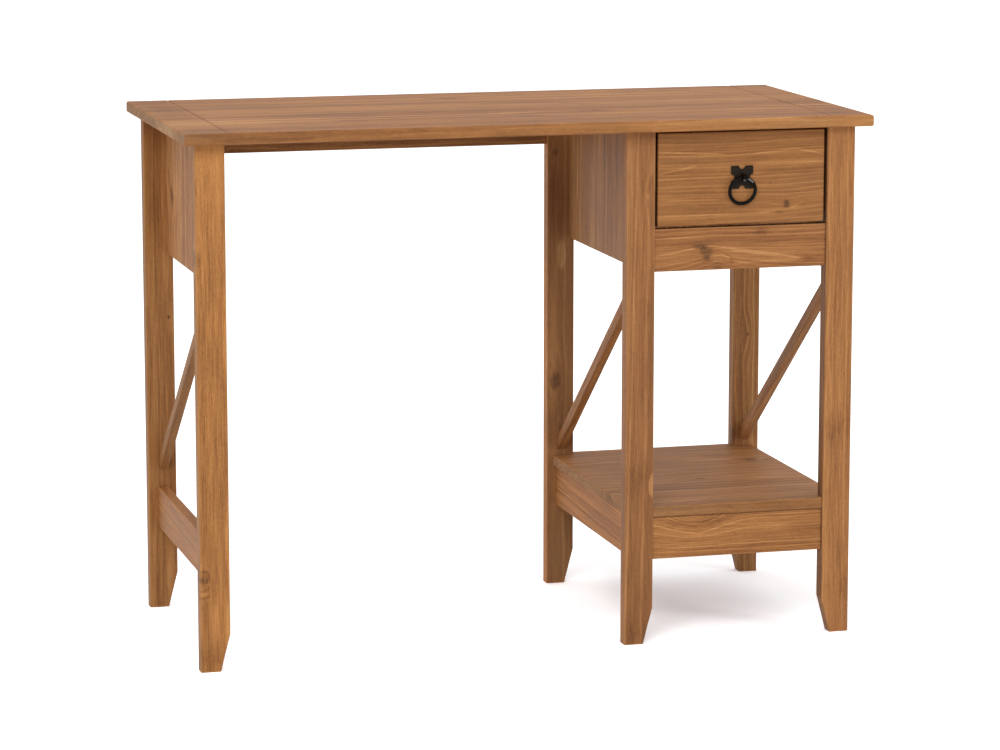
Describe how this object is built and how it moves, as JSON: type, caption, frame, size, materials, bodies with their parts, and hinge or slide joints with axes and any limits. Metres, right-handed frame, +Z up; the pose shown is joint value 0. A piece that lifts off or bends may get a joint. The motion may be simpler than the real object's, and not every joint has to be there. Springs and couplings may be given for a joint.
{
  "type": "kneehole desk",
  "caption": "Small pine kneehole desk on braced leg frames, with an open shelf under a drawer that has an iron ring handle.",
  "frame": {"origin": "on the floor, under the middle of the top", "axes": "+X along the desk towards the drawer, -Y towards the sitter, +Z up"},
  "size_m": [0.97, 0.46, 0.74],
  "materials": {
    "waxed_pine": "honey-brown stained and waxed pine, semi-matt",
    "bare_pine": "lightly oiled pine, matt",
    "plywood": "thin plywood, matt",
    "beech": "raw beech dowel",
    "zinc_steel": "zinc-plated steel",
    "black_iron": "black forged iron, satin"
  },
  "bodies": {
    "desk": {"back_panel": "waxed_pine", "back_rail": "waxed_pine", "brace_dowels": "beech", "cleat_screws": "zinc_steel", "drawer_left_runner": "bare_pine", "drawer_rail": "waxed_pine", "drawer_right_runner": "bare_pine", "inner_brace": "waxed_pine", "inner_cleat": "bare_pine", "inner_front_leg": "waxed_pine", "inner_lower_rail": "waxed_pine", "inner_rear_leg": "waxed_pine", "inner_side_panel": "waxed_pine", "left_brace": "waxed_pine", "left_cleat": "bare_pine", "left_front_leg": "waxed_pine", "left_lower_rail": "waxed_pine", "left_rear_leg": "waxed_pine", "left_side_panel": "waxed_pine", "right_brace": "waxed_pine", "right_cleat": "bare_pine", "right_front_leg": "waxed_pine", "right_lower_rail": "waxed_pine", "right_rear_leg": "waxed_pine", "right_side_panel": "waxed_pine", "runner_screws": "zinc_steel", "shelf": "waxed_pine", "shelf_back_rail": "waxed_pine", "shelf_dowels": "beech", "shelf_front_rail": "waxed_pine", "top_panel": "waxed_pine"},
    "drawer": {"drawer_back": "bare_pine", "drawer_bottom": "plywood", "drawer_bottom_screws": "zinc_steel", "drawer_front": "waxed_pine", "drawer_left_side": "bare_pine", "drawer_right_side": "bare_pine", "handle_backplate": "black_iron", "handle_eye": "black_iron", "handle_nut": "zinc_steel", "handle_washer": "zinc_steel"},
    "ring": {"handle_ring": "black_iron"}
  },
  "joints": [
    {"name": "drawer_slide", "type": "slide", "parent": "desk", "child": "drawer", "axis": [0, -1, 0], "range_m": [0, 0.24]},
    {"name": "ring_swing", "type": "hinge", "parent": "drawer", "child": "ring", "pos_m": [0.3017, -0.212, 0.65565], "axis": [-1, 0, 0], "range_deg": [-1, 165]}
  ]
}
